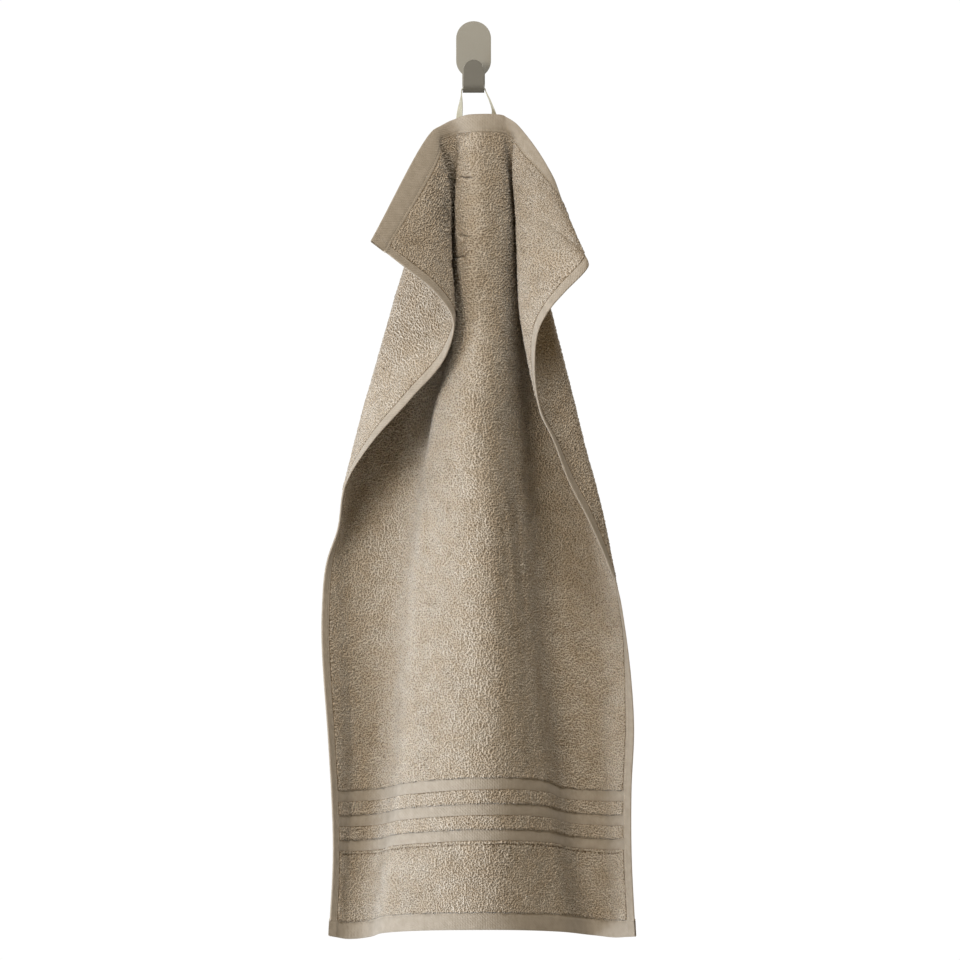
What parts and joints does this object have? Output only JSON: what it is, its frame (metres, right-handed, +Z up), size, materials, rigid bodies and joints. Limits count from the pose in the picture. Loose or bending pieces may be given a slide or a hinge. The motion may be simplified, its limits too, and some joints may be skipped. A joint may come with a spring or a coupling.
{
  "type": "hand towel on wall hook",
  "caption": "Terry hand towel hanging in soft folds from a tape loop on a small bent wall hook, with flat woven end hems and flat woven bands near the bottom.",
  "frame": {"origin": "middle of the hook plate's flat back face, on the wall", "axes": "+X to the viewer's right, +Y into the wall, +Z up along the hanging length"},
  "size_m": [0.387, 0.132, 1.1303],
  "materials": {
    "terry_cotton": "looped cotton pile with flat woven hems and bands",
    "cotton_tape": "flat woven tape",
    "powder_coated_steel": "semi-matt powder coat"
  },
  "bodies": {
    "root": {"towel": "terry_cotton", "hanging_loop": "cotton_tape", "hook": "powder_coated_steel"}
  },
  "joints": []
}
